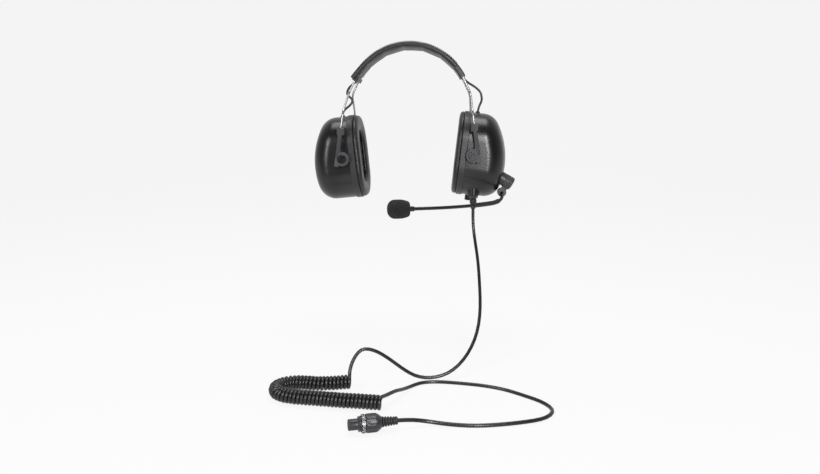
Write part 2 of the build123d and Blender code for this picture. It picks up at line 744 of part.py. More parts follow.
with BuildPart() as plug_body:
    with BuildSketch(plug_plane(BOOT_LONG)):
        Circle(PLUG_R - 1.5)
    with BuildSketch(plug_plane(BOOT_LONG + 2.5)):
        Circle(PLUG_R)
    loft()
    with BuildSketch(plug_plane(BOOT_LONG + 2.5)):
        Circle(PLUG_R)
    extrude(amount=BODY_END - BOOT_LONG - 2.5)
    with BuildSketch(plug_plane(BOOT_LONG + 5.0)):
        with PolarLocations(PLUG_R + 0.2, 6):
            Rectangle(1.6, 5.0)
    extrude(amount=9.5, mode=Mode.SUBTRACT)
    with BuildSketch(plug_plane(BODY_END)):
        Circle(CORE_R)
    extrude(amount=RING_END - BODY_END)
    with BuildSketch(plug_plane(RING_END)):
        Circle(7.9)
    extrude(amount=FLANGE_END - RING_END)
    with BuildSketch(plug_plane(FLANGE_END)):
        Circle(NOSE_R)
    extrude(amount=NOSE_END - FLANGE_END)
    with BuildSketch(plug_plane(FLANGE_END + 2.0)):
        Circle(NOSE_R - 0.9)
    extrude(amount=NOSE_END - FLANGE_END, mode=Mode.SUBTRACT)

with BuildPart() as plug_ring:
    with BuildSketch(plug_plane(BODY_END + 0.2)):
        Circle(PLUG_R - 0.1)
        Circle(CORE_R + FIT, mode=Mode.SUBTRACT)
        with PolarLocations(PLUG_R + 0.1, 36):
            Circle(0.4, mode=Mode.SUBTRACT)
    extrude(amount=RING_END - BODY_END - 0.4)

with BuildPart() as plug_pins:
    with BuildSketch(plug_plane(FLANGE_END + 2.0)):
        Circle(0.6)
        with PolarLocations(3.0, 6):
            Circle(0.6)
    extrude(amount=6.5)

# ---------------------------------------------------------------- files
pair = {
    "base_ring": base_ring,
    "baffle": baffle,
    "speaker_basket": speaker_basket,
    "speaker_magnet": speaker_magnet,
    "cup_foam": cup_foam,
    "ear_foam": ear_foam,
    "cushion_plate": cushion_plate,
    "ear_cushion": ear_cushion,
    "lead_grommet": lead_grommet,
    "pivot_screws": pivot_screws,
}
right_shift = Location(mirrored(SLIDE * -RIGHT_DROP))


def right_side(solid):
    """The same piece on the wearer's right, at its lower setting."""
    with BuildPart() as piece:
        mirror(solid, about=Plane.YZ)
    return piece.part.moved(right_shift)


for name, piece in pair.items():
    save(f"left_{name}", piece.part)
    save(f"right_{name}", right_side(piece.part))
save("left_cup_shell", left_cup_shell.part)
save("right_cup_shell", right_side(cup_shell.part))
for end, side in (("front", -1), ("rear", 1)):
    save(f"left_{end}_arm", arm(side))
    save(f"right_{end}_arm", right_side(arm(side)))
    save(f"{end}_wire", wire(side))

save("pad_core", pad_core.part)
save("head_pad", head_pad.part)
save("left_bridge", left_bridge.part)
save("right_bridge", right_bridge.part)
save("pad_lead", pad_lead.part)
save("left_lead", tube("left_lead", LEFT_LEAD, LEAD_R))
save("right_lead", tube("right_lead", RIGHT_LEAD, LEAD_R))

save("cable_gland", cable_gland.part)
save("strain_relief", strain_relief.part)
save("volume_pot", volume_pot.part)
save("volume_shaft", volume_shaft.part)
save("volume_knob", volume_knob.part)
save("circuit_board", circuit_board.part)
save("boom_mount", boom_mount.part)
save("hub_screw", hub_screw.part)
save("boom_hub", boom_hub.part)
save("boom_tube", swept(BOOM_POINTS, boom_radii, BOOM_R))
save("boom_sleeve",
     swept([sleeve_start, BOOM_POINTS[3], BOOM_POINTS[4], sleeve_end], boom_radii[2:4], SLEEVE_R, BOOM_R))
save("mic_housing", mic_housing.part)
save("mic_capsule", mic_capsule.part)
save("mic_windscreen", mic_windscreen.part)

save("cord_drop", tube("cord_drop", DROP, CORD_R))
save("curly_cord", tube("curly_cord", COIL, COIL_R))
save("cord_tail", tube("cord_tail", TAIL, CORD_R))
save("plug_boot", plug_boot.part)
save("plug_body", plug_body.part)
save("plug_ring", plug_ring.part)
save("plug_pins", plug_pins.part)
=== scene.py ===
"""Two-way-radio headset: visual model, materials, light and camera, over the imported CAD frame."""

import json
from math import cos, pi, radians, sin, sqrt, tau

import bmesh
import bpy
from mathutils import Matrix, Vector, noise


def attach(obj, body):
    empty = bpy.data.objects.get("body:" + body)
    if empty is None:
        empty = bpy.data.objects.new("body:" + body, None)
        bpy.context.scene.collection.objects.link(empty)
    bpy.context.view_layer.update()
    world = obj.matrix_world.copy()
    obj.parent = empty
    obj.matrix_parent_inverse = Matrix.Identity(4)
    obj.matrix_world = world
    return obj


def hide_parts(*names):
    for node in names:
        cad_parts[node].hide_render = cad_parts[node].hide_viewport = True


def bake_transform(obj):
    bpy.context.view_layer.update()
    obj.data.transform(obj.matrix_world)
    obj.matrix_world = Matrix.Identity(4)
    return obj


MM = 0.001

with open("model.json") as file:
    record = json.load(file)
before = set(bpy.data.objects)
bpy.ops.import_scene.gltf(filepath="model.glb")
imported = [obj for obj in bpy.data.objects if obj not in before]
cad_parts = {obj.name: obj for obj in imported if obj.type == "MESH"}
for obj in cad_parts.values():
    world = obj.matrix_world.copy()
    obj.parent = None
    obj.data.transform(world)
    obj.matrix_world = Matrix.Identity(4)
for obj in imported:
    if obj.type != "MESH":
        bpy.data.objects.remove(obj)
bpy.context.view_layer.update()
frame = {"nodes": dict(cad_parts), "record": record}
nodes = frame["nodes"]
collection = bpy.context.scene.collection

# ---------------------------------------------------------------- camera and stage
CAMERA_AZIMUTH = 4.0
CAMERA_PITCH = 10.0
CAMERA_DISTANCE = 0.850
CAMERA_HEIGHT = 0.033
CAMERA_LENS = 26.65
SENSOR_WIDTH = 36.0
FLOOR_MM = -263.0
FLOOR_Z = FLOOR_MM * MM


def add_camera():
    """The camera stands in front, a little to the wearer's left, and looks slightly down."""
    data = bpy.data.cameras.new("camera")
    data.lens = CAMERA_LENS
    data.sensor_width = SENSOR_WIDTH
    camera = bpy.data.objects.new("camera", data)
    turn = radians(CAMERA_AZIMUTH)
    camera.location = (CAMERA_DISTANCE * sin(turn), -CAMERA_DISTANCE * cos(turn), CAMERA_HEIGHT)
    camera.rotation_euler = (radians(90.0 - CAMERA_PITCH), 0.0, turn)
    collection.objects.link(camera)
    bpy.context.scene.camera = camera


add_camera()

# ---------------------------------------------------------------- material nodes
COAT_ROUGHNESS = 0.25


def new_material(name, color, roughness, metallic=0.0, coat=0.0, sheen=0.0, specular=0.5):
    """A material whose plain values sit on the shader's own sockets."""
    material = bpy.data.materials.new(name)
    material.use_nodes = True
    shader = material.node_tree.nodes["Principled BSDF"]
    shader.inputs["Base Color"].default_value = (*color, 1.0)
    shader.inputs["Roughness"].default_value = roughness
    shader.inputs["Metallic"].default_value = metallic
    shader.inputs["Coat Weight"].default_value = coat
    shader.inputs["Coat Roughness"].default_value = COAT_ROUGHNESS
    shader.inputs["Sheen Weight"].default_value = sheen
    shader.inputs["Specular IOR Level"].default_value = specular
    material.diffuse_color = (*color, 1.0)
    return material


def add_node(material, kind, **inputs):
    """A node of this kind, with its named inputs set."""
    node = material.node_tree.nodes.new(kind)
    for key, value in inputs.items():
        node.inputs[key.replace("_", " ")].default_value = value
    return node


def object_coords(material, stretch=(1.0, 1.0, 1.0)):
    """Coordinates fixed to the object, in metres, stretched along its axes."""
    coords = add_node(material, "ShaderNodeTexCoord")
    mapping = add_node(material, "ShaderNodeMapping", Scale=stretch)
    material.node_tree.links.new(coords.outputs["Object"], mapping.inputs["Vector"])
    return mapping.outputs["Vector"]


def noise_value(material, scale, detail=4.0, stretch=(1.0, 1.0, 1.0), rough=0.55):
    """A noise value between 0 and 1, this many cells per metre."""
    node = add_node(material, "ShaderNodeTexNoise", Scale=scale, Detail=detail, Roughness=rough)
    material.node_tree.links.new(object_coords(material, stretch), node.inputs["Vector"])
    return node.outputs["Fac"]


def cell_value(material, scale, feature="F1", randomness=1.0):
    """The distance in a field of cells, this many per metre."""
    node = material.node_tree.nodes.new("ShaderNodeTexVoronoi")
    node.feature = feature
    node.inputs["Scale"].default_value = scale
    node.inputs["Randomness"].default_value = randomness
    material.node_tree.links.new(object_coords(material), node.inputs["Vector"])
    return node.outputs["Distance"]


def remap(material, value, low, high, out_low, out_high):
    """The value's stretch low..high, moved to out_low..out_high."""
    ends = {"From_Min": low, "From_Max": high, "To_Min": out_low, "To_Max": out_high}
    node = add_node(material, "ShaderNodeMapRange", **ends)
    material.node_tree.links.new(value, node.inputs["Value"])
    return node.outputs["Result"]


def mix_colors(material, value, color_a, color_b):
    """A colour between a and b, by the value."""
    node = material.node_tree.nodes.new("ShaderNodeMix")
    node.data_type = "RGBA"
    node.inputs["A"].default_value = (*color_a, 1.0)
    node.inputs["B"].default_value = (*color_b, 1.0)
    material.node_tree.links.new(value, node.inputs["Factor"])
    return node.outputs["Result"]


def set_color(material, output):
    """The base colour comes from this output."""
    shader = material.node_tree.nodes["Principled BSDF"]
    material.node_tree.links.new(output, shader.inputs["Base Color"])


def set_roughness(material, output):
    """The roughness comes from this output."""
    shader = material.node_tree.nodes["Principled BSDF"]
    material.node_tree.links.new(output, shader.inputs["Roughness"])


def add_bump(material, height, strength, distance):
    """Surface relief from a height value; calls stack up."""
    shader = material.node_tree.nodes["Principled BSDF"]
    node = add_node(material, "ShaderNodeBump", Strength=strength, Distance=distance)
    material.node_tree.links.new(height, node.inputs["Height"])
    normal = shader.inputs["Normal"]
    if normal.links:
        material.node_tree.links.new(normal.links[0].from_socket, node.inputs["Normal"])
    material.node_tree.links.new(node.outputs["Normal"], normal)


def edge_wear(material, value_low=0.52, value_high=0.62):
    """Nearly 1 on the convex edges, where handling polishes and greys the surface."""
    geometry = material.node_tree.nodes.new("ShaderNodeNewGeometry")
    return remap(material, geometry.outputs["Pointiness"], value_low, value_high, 0.0, 1.0)


# ---------------------------------------------------------------- materials


def shell_plastic():
    """Satin moulded shell: near black, faint mottling, fine moulding texture, rubbed edges."""
    m = new_material("shell_plastic", (0.006, 0.006, 0.007), 0.28, specular=0.5)
    set_color(m, mix_colors(m, edge_wear(m, 0.55, 0.70), (0.0055, 0.0055, 0.0062), (0.03, 0.03, 0.032)))
    set_roughness(m, remap(m, noise_value(m, 40.0, 2.0), 0.3, 0.7, 0.26, 0.31))
    add_bump(m, noise_value(m, 1700.0, 2.0), 0.02, 0.00005)
    return m


def arm_plastic():
    """Glass-filled plastic of the arms: dark grey, matte, grainy."""
    m = new_material("arm_plastic", (0.030, 0.031, 0.034), 0.55, specular=0.35)
    set_color(m, mix_colors(m, edge_wear(m), (0.028, 0.029, 0.032), (0.075, 0.076, 0.08)))
    set_roughness(m, remap(m, noise_value(m, 300.0), 0.3, 0.7, 0.48, 0.62))
    add_bump(m, noise_value(m, 1800.0, 4.0), 0.22, 0.0002)
    return m


def black_plastic():
    """Plain black moulded plastic of rings, bridges and the hub."""
    m = new_material("black_plastic", (0.007, 0.007, 0.0075), 0.4)
    set_color(m, mix_colors(m, edge_wear(m), (0.006, 0.006, 0.0065), (0.03, 0.03, 0.032)))
    set_roughness(m, remap(m, noise_value(m, 150.0), 0.3, 0.7, 0.34, 0.48))
    add_bump(m, noise_value(m, 2200.0, 3.0), 0.15, 0.00015)
    return m


def leatherette():
    """Black leatherette: pebbled grain with painted shade in its pits and painted highlight on its
    tops, soft creases.
    """
    m = new_material("leatherette", (0.008, 0.008, 0.009), 0.42, sheen=0.02)
    grain = cell_value(m, 900.0)
    creases = noise_value(m, 90.0, 6.0, stretch=(1.0, 2.2, 1.0))
    # painted shade and painted highlight: the colour is darker where the grain sinks the bump and
    # lighter where it rises
    set_color(m, mix_colors(m, grain, (0.005, 0.005, 0.0055), (0.013, 0.013, 0.014)))
    set_roughness(m, remap(m, creases, 0.3, 0.7, 0.34, 0.52))
    add_bump(m, grain, 0.25, 0.0003)
    add_bump(m, creases, 0.35, 0.0012)
    return m


def open_foam(name, color, pore_scale):
    """Open-cell foam: matte, with painted shade darkening each pore between lighter cell walls."""
    m = new_material(name, color, 0.95, sheen=0.06, specular=0.12)
    pore_depth_and_shade = remap(m, cell_value(m, pore_scale), 0.1, 0.6, 0.0, 1.0)
    pale = tuple(1.9 * part for part in color)
    dark = tuple(0.45 * part for part in color)
    # painted shade: each pore is coloured darker by the same mask that sinks it in the bump
    set_color(m, mix_colors(m, pore_depth_and_shade, dark, pale))
    add_bump(m, pore_depth_and_shade, 0.8, 0.0008)
    add_bump(m, noise_value(m, 260.0, 4.0), 0.4, 0.0012)
    return m


def soft_black(name, roughness, grain):
    """Black rubber or cord jacket: satin, slightly dusty."""
    m = new_material(name, (0.008, 0.008, 0.0085), roughness)
    dust = remap(m, noise_value(m, 120.0, 5.0), 0.45, 0.75, 0.0, 1.0)
    set_color(m, mix_colors(m, dust, (0.007, 0.007, 0.0075), (0.016, 0.016, 0.017)))
    set_roughness(m, remap(m, noise_value(m, 400.0), 0.3, 0.7, roughness - 0.05, roughness + 0.1))
    add_bump(m, noise_value(m, grain, 2.0), 0.03, 0.0001)
    return m


def connector_plastic():
    """Dark grey satin plastic of the connector, rubbed pale on its ridges."""
    m = new_material("connector_plastic", (0.022, 0.022, 0.025), 0.34)
    set_color(m, mix_colors(m, edge_wear(m), (0.018, 0.018, 0.021), (0.06, 0.06, 0.065)))
    set_roughness(m, remap(m, noise_value(m, 250.0), 0.3, 0.7, 0.28, 0.42))
    add_bump(m, noise_value(m, 2400.0, 3.0), 0.12, 0.00012)
    return m


def metal(name, color, roughness, stretch):
    """Bare metal with fine drawn or turned lines along its length."""
    m = new_material(name, color, roughness, metallic=1.0)
    lines = noise_value(m, 120.0, 2.0, stretch=stretch)
    dark = tuple(0.72 * part for part in color)
    set_color(m, mix_colors(m, noise_value(m, 90.0, 5.0), dark, color))
    set_roughness(m, remap(m, lines, 0.3, 0.7, roughness - 0.04, roughness + 0.06))
    return m


def blackened_metal():
    """Black-finished metal of the screws, slightly greyed on its edges."""
    m = new_material("blackened_steel", (0.009, 0.009, 0.010), 0.40, metallic=0.0)
    set_color(m, mix_colors(m, edge_wear(m, 0.62, 0.80), (0.008, 0.008, 0.009), (0.06, 0.06, 0.063)))
    set_roughness(m, remap(m, noise_value(m, 350.0), 0.3, 0.7, 0.20, 0.30))
    add_bump(m, noise_value(m, 1500.0, 3.0), 0.05, 0.00010)
    return m


def circuit_board():
    """Green lacquered board with a faint pattern of tracks."""
    m = new_material("board", (0.015, 0.10, 0.04), 0.35, coat=0.4)
    tracks = remap(m, cell_value(m, 420.0, "DISTANCE_TO_EDGE", 0.4), 0.02, 0.08, 0.0, 1.0)
    set_color(m, mix_colors(m, tracks, (0.03, 0.17, 0.07), (0.012, 0.085, 0.033)))
    add_bump(m, tracks, 0.3, 0.0001)
    return m


library = {
    "shell_plastic": shell_plastic(),
    "arm_plastic": arm_plastic(),
    "black_plastic": black_plastic(),
    "leatherette": leatherette(),
    "foam": open_foam("foam", (0.022, 0.022, 0.024), 700.0),
    "mic_foam": open_foam("mic_foam", (0.011, 0.0112, 0.0125), 1100.0),
    "black_rubber": soft_black("black_rubber", 0.5, 1800.0),
    "cord_rubber": soft_black("cord_rubber", 0.27, 2500.0),
    "steel_wire": metal("steel_wire", (0.46, 0.46, 0.46), 0.34, (1.0, 1.0, 0.3)),
    "magnet_steel": metal("magnet_steel", (0.42, 0.42, 0.44), 0.35, (1.0, 1.0, 1.0)),
    "bright_metal": metal("bright_metal", (0.17, 0.17, 0.175), 0.30, (3.0, 1.0, 1.0)),
    "contact_brass": metal("contact_brass", (0.85, 0.62, 0.26), 0.25, (1.0, 1.0, 1.0)),
    "blackened_steel": blackened_metal(),
    "connector": connector_plastic(),
    "board": circuit_board(),
}


def finish_piece(piece, slot, body=None, look=None):
    """Give a piece its material (look, where it isn't the slot's own) and its body."""
    piece.data.materials.clear()
    piece.data.materials.append(library[look or slot])
    if body:
        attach(piece, body)
    return piece


for entry in frame["record"]["subparts"]:
    cad = nodes[entry["node"]]
    cad.data.materials.clear()
    cad.data.materials.append(library[entry["material_slot"]])


# ---------------------------------------------------------------- mesh helpers
WELD_GAP = 1e-7
CURVE_STEPS = 6
TUBE_STEPS = 12
TUBE_ROUND = 5


def mesh_object(name, points, faces, smooth=True):
    """A mesh object from points and faces, with its normals made consistent."""
    mesh = bpy.data.meshes.new(name)
    mesh.from_pydata([tuple(point) for point in points], [], faces)
    build = bmesh.new()
    build.from_mesh(mesh)
    bmesh.ops.remove_doubles(build, verts=build.verts, dist=WELD_GAP)
    bmesh.ops.recalc_face_normals(build, faces=build.faces)
    build.to_mesh(mesh)
    build.free()
    for face in mesh.polygons:
        face.use_smooth = smooth
    piece = bpy.data.objects.new(name, mesh)
    collection.objects.link(piece)
    return piece


def grid_faces(rows, columns, wrap_rows=False, wrap_columns=True):
    """Quads over a grid of points stored row by row."""
    faces = []
    for i in range(rows if wrap_rows else rows - 1):
        for j in range(columns if wrap_columns else columns - 1):
            a = i * columns + j
            b = i * columns + (j + 1) % columns
            c = ((i + 1) % rows) * columns + (j + 1) % columns
            d = ((i + 1) % rows) * columns + j
            faces.append((a, b, c, d))
    return faces


def subdivide(piece, levels):
    """One or more levels of subdivision, applied."""
    modifier = piece.modifiers.new("subdivide", "SUBSURF")
    modifier.levels = levels
    modifier.render_levels = levels
    apply_modifiers(piece)


def apply_modifiers(piece):
    """Bake the piece's modifiers into its mesh."""
    depsgraph = bpy.context.evaluated_depsgraph_get()
    mesh = bpy.data.meshes.new_from_object(piece.evaluated_get(depsgraph))
    piece.modifiers.clear()
    piece.data = mesh
    for face in mesh.polygons:
        face.use_smooth = True


def nurbs_curve(name, points, radius=0.0):
    """A smooth open curve with these control points, round if it has a radius."""
    curve = bpy.data.curves.new(name, "CURVE")
    curve.dimensions = "3D"
    spline = curve.splines.new("NURBS")
    spline.points.add(len(points) - 1)
    for place, point in zip(spline.points, points):
        place.co = (*point, 1.0)
    spline.order_u = 3
    spline.use_endpoint_u = True
    spline.resolution_u = CURVE_STEPS
    curve.bevel_depth = radius
    curve.bevel_resolution = TUBE_ROUND
    curve.use_fill_caps = radius > 0.0
    piece = bpy.data.objects.new(name, curve)
    collection.objects.link(piece)
    return piece


def curve_line(points):
    """Points along the smooth curve that these control points make."""
    guide = nurbs_curve("guide", points)
    bpy.context.view_layer.update()
    mesh = bpy.data.meshes.new_from_object(guide)
    line = [vertex.co.copy() for vertex in mesh.vertices]
    bpy.data.objects.remove(guide)
    bpy.data.meshes.remove(mesh)
    return line


def tube_mesh(name, points, radius):
    """A round tube along a smooth curve, as a mesh."""
    guide = nurbs_curve(name + "_guide", points, radius)
    guide.data.splines[0].resolution_u = TUBE_STEPS
    bpy.context.view_layer.update()
    mesh = bpy.data.meshes.new_from_object(guide)
    bpy.data.objects.remove(guide)
    for face in mesh.polygons:
        face.use_smooth = True
    piece = bpy.data.objects.new(name, mesh)
    collection.objects.link(piece)
    return piece


def lathe(name, base, axis, profile, count, relief=None):
    """A turned piece: profile gives distance along the axis and radius; relief reshapes the radius."""
    up = Vector((0, 0, 1))
    across = axis.cross(up)
    points = []
    for distance, radius in profile:
        for step in range(count):
            turn = tau * step / count
            ray = up * cos(turn) + across * sin(turn)
            place = base + axis * distance
            size = relief(distance, turn, radius, place + ray * radius) if relief else radius
            points.append((place + ray * size) * MM)
    faces = grid_faces(len(profile), count)
    ends = ((0, profile[0][0]), (len(profile) - 1, profile[-1][0]))
    for row, distance in ends:
        tip = len(points)
        points.append((base + axis * distance) * MM)
        faces += [(row * count + i, row * count + (i + 1) % count, tip) for i in range(count)]
    return mesh_object(name, points, faces)


# ---------------------------------------------------------------- cord
CORD_R = 2.1
COIL_R = 8.5
CORD_Z = FLOOR_MM + CORD_R
COIL_Z = FLOOR_MM + COIL_R
COIL_PITCH = 4.25
COIL_WANDER = 0.35
COIL_SLACK = 0.018
TURN_POINTS = 14
CORD_STEPS = 3
CORD_ROUND = 4

DROP = [
    (87.5, -26.0, -72.0),
    (87.5, -26.0, -92.0),
    (90.5, -33.5, -114.0),
    (94.5, -50.0, -138.0),
    (96.5, -72.0, -167.0),
    (97.0, -98.0, -196.0),
    (91.5, -122.0, -220.0),
    (78.0, -142.5, -240.5),
    (60.0, -154.0, -255.0),
    (39.0, -159.0, -260.7),
    (19.0, -162.5, -258.0),
    (3.0, -166.0, -247.0),
    (-12.5, -169.5, -233.5),
    (-28.0, -173.5, -222.0),
    (-43.5, -178.0, -217.5),
    (-53.0, -182.5, -228.5),
    (-57.0, -186.5, -241.0),
]
COIL = [
    (-57.0, -190.0, COIL_Z),
    (-75.0, -195.5, COIL_Z),
    (-94.0, -198.0, COIL_Z),
    (-112.5, -195.5, COIL_Z),
    (-129.0, -198.5, COIL_Z),
    (-138.5, -212.0, COIL_Z),
    (-131.5, -227.5, COIL_Z),
    (-114.0, -234.0, COIL_Z),
    (-94.0, -236.0, COIL_Z),
    (-74.0, -237.5, COIL_Z),
    (-54.0, -239.8, COIL_Z),
    (-34.0, -240.6, COIL_Z),
    (-14.0, -242.5, COIL_Z),
]
TAIL = [
    (-9.0, -231.5, -250.5),
    (-1.0, -218.0, -251.5),
    (5.0, -202.0, -257.0),
    (12.0, -186.0, CORD_Z),
    (25.0, -171.5, CORD_Z),
    (46.0, -168.0, CORD_Z),
    (72.0, -171.0, CORD_Z),
    (98.0, -175.5, CORD_Z),
    (122.0, -184.5, CORD_Z),
    (143.0, -200.0, CORD_Z),
    (162.0, -215.5, CORD_Z),
    (171.0, -236.0, CORD_Z),
    (158.0, -254.5, CORD_Z),
    (134.0, -264.0, CORD_Z),
    (109.0, -271.0, CORD_Z),
    (83.0, -275.5, CORD_Z),
    (57.0, -273.5, CORD_Z),
    (36.0, -273.0, -258.5),
    (20.5, -278.5, -254.5),
    (7.0, -283.5, -253.4),
]


def in_metres(points):
    """Points in millimetres, as vectors in metres."""
    return [Vector(point) * MM for point in points]


def along(line, distance):
    """The point and direction this far along a line of points."""
    for here, there in zip(line, line[1:]):
        step = (there - here).length
        if distance <= step:
            return here.lerp(there, distance / step), (there - here).normalized()
        distance -= step
    return line[-1].copy(), (line[-1] - line[-2]).normalized()


def helix(route, radius, pitch):
    """Control points of the curly part, wound round the route and starting on its top."""
    line = curve_line(in_metres(route))
    length = sum((b - a).length for a, b in zip(line, line[1:]))
    turns = round(length / pitch)
    count = turns * TURN_POINTS
    points = []
    for step in range(count + 1):
        centre, forward = along(line, length * step / count)
        aside = forward.cross(Vector((0.0, 0.0, 1.0))).normalized()
        angle = tau * step / TURN_POINTS
        wander = COIL_WANDER * MM * noise.noise(centre * 90.0)
        slack = radius * (1.0 + COIL_SLACK * sin(angle * 0.31))
        offset = Vector((0.0, 0.0, cos(angle))) - aside * sin(angle)
        lift = min(0.0, (radius - slack) * cos(angle))
        points.append(centre + offset * slack + aside * wander + Vector((0, 0, lift)))
    return points


def make_cord():
    """The whole cord as one smooth curve: drop, curly part, tail."""
    coil = helix(COIL, (COIL_R - CORD_R) * MM, COIL_PITCH * MM)
    points = in_metres(DROP) + coil + in_metres(TAIL)
    cord = nurbs_curve("cord", points, CORD_R * MM)
    cord.data.splines[0].resolution_u = CORD_STEPS
    cord.data.bevel_resolution = CORD_ROUND
    finish_piece(cord, "cord_rubber", "left_cup")
    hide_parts("cord_drop", "curly_cord", "cord_tail")
    return cord


PLUG_HEADING = radians(195.6)
PLUG_BASE = Vector((7.0, -283.5, -253.4))
PLUG_AXIS = Vector((cos(PLUG_HEADING), sin(PLUG_HEADING), 0.0))
BOOT_LONG = 16.0
BODY_END = 32.5
FLUTES = 6
FLUTE_DEPTH = 0.85
BOOT_RIBS = 5
RIB_PITCH = 2.75
BOOT_PROFILE = [
    (-0.4, 2.2),
    (-0.3, 3.4),
    (0.2, 4.0),
    (1.6, 4.1),
    (2.1, 3.5),
]
BODY_PROFILE = [
    (15.6, 4.6),
    (15.8, 5.4),
    (16.6, 6.1),
    (18.2, 7.4),
    (19.8, 8.5),
    (21.0, 9.1),
    (22.4, 9.35),
    (24.5, 9.4),
    (26.5, 9.4),
    (28.5, 9.4),
    (30.4, 9.35),
    (31.6, 9.1),
    (32.3, 8.4),
    (32.4, 7.0),
    (36.2, 6.8),
    (36.3, 7.5),
    (36.7, 7.9),
    (37.4, 7.9),
    (37.8, 7.1),
    (38.3, 7.1),
    (38.7, 7.8),
    (39.2, 7.8),
    (39.5, 7.2),
    (39.6, 5.7),
    (40.2, 5.6),
    (48.8, 5.6),
    (49.4, 5.3),
    (49.5, 4.7),
    (41.6, 4.65),
]


def boot_profile():
    """The boot swells towards the connector in soft ribs."""
    profile = list(BOOT_PROFILE)
    for rib in range(BOOT_RIBS):
        start = 2.6 + RIB_PITCH * rib
        size = 4.0 + 0.24 * rib
        profile += [(start, size - 0.1), (start + 0.4, size + 0.25), (start + 1.3, size + 0.3)]
        profile += [(start + 1.7, size), (start + 1.9, size - 0.75), (start + 2.4, size - 0.75)]
    profile.append((BOOT_LONG + 0.4, 5.0))
    return profile


def fluted(distance, turn, radius, place):
    """Six flat grips round the connector's body."""
    if distance > BODY_END:
        return radius
    begin = min(1.0, max(0.0, (distance - 19.0) / 3.0))
    end = min(1.0, max(0.0, (31.0 - distance) / 1.5))
    hollow = max(0.0, cos(FLUTES * turn) - 0.1) ** 0.5
    return radius - FLUTE_DEPTH * (begin * end) * hollow


def make_plug():
    """The connector's body and its ribbed boot."""
    body = lathe("connector_body", PLUG_BASE, PLUG_AXIS, BODY_PROFILE, 96, fluted)
    finish_piece(body, "black_plastic", "left_cup", look="connector")
    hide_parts("plug_body")
    boot = lathe("connector_boot", PLUG_BASE, PLUG_AXIS, boot_profile(), 48)
    finish_piece(boot, "black_rubber", "left_cup")
    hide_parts("plug_boot")
    return [body, boot]


cord = make_cord()
plug_pieces = make_plug()

# ---------------------------------------------------------------- floor, backdrop and light
FLOOR_FRONT = -3.0
FLOOR_BACK = 1.6
FLOOR_HALF_WIDTH = 6.0
BACKDROP_BEND = 1.2
BACKDROP_TOP = 4.5
BEND_STEPS = 12
# glow where the camera sees the floor and the room, and where they light the object:
# a depth range, metres for the floor and a direction's share for the room, and the glow at its two ends
FLOOR_GLOW = 0.87
FLOOR_FADE = (-1.1, -0.45, 0.12, 0.79)
ROOM_GLOW = 0.88
ROOM_FADE = (-0.6, 0.5, 0.04, 0.60)
# name, place, target, width, height, watts
SOFTBOXES = [
    ("left_box", (-0.80, -1.15, 0.32), (0.0, 0.0, 0.0), 0.22, 0.70, 7.0),
    ("right_box", (0.34, -1.30, 0.27), (0.08, 0.0, 0.02), 0.17, 0.72, 13.0),
    ("top_box", (0.0, 0.0, 1.5), (0.0, 0.0, 0.0), 1.2, 0.8, 16.0),
]


def plain_to_the_eye(tree, lit, seen):
    """A strength that varies where it lights the object, and is even where the stage itself is seen."""
    path = tree.nodes.new("ShaderNodeLightPath")
    choice = tree.nodes.new("ShaderNodeMix")
    choice.inputs["B"].default_value = seen
    tree.links.new(path.outputs["Is Camera Ray"], choice.inputs["Factor"])
    tree.links.new(lit, choice.inputs["A"])
    return choice.outputs["Result"]


def add_stage():
    """A pale floor that curves up into a backdrop."""
    depth_profile = [(FLOOR_FRONT, 0.0), (FLOOR_BACK, 0.0)]
    for step in range(1, BEND_STEPS + 1):
        angle = pi / 2 * step / BEND_STEPS
        depth = FLOOR_BACK + BACKDROP_BEND * sin(angle)
        depth_profile.append((depth, BACKDROP_BEND * (1.0 - cos(angle))))
    depth_profile.append((FLOOR_BACK + BACKDROP_BEND, BACKDROP_TOP))
    points = []
    for y, rise in depth_profile:
        points += [(x, y, FLOOR_Z + rise) for x in (-FLOOR_HALF_WIDTH, FLOOR_HALF_WIDTH)]
    floor = mesh_object("floor", points, grid_faces(len(depth_profile), 2, wrap_columns=False))
    m = new_material("floor_paper", (0.08, 0.08, 0.08), 0.9, specular=0.0)
    set_color(m, mix_colors(m, noise_value(m, 3.0), (0.078, 0.078, 0.078), (0.082, 0.082, 0.082)))
    shader = m.node_tree.nodes["Principled BSDF"]
    shader.inputs["Emission Color"].default_value = (1.0, 1.0, 1.0, 1.0)
    split = m.node_tree.nodes.new("ShaderNodeSeparateXYZ")
    m.node_tree.links.new(object_coords(m), split.inputs["Vector"])
    glow = remap(m, split.outputs["Y"], *FLOOR_FADE)
    glow = plain_to_the_eye(m.node_tree, glow, FLOOR_GLOW)
    m.node_tree.links.new(glow, shader.inputs["Emission Strength"])
    floor.data.materials.append(m)


def softbox(name, place, target, width, height, power):
    """A rectangular soft light that faces the target."""
    data = bpy.data.lights.new(name, "AREA")
    data.shape = "RECTANGLE"
    data.size = width
    data.size_y = height
    data.energy = power
    light = bpy.data.objects.new(name, data)
    light.location = place
    light.rotation_euler = (Vector(target) - Vector(place)).to_track_quat("-Z", "Y").to_euler()
    collection.objects.link(light)


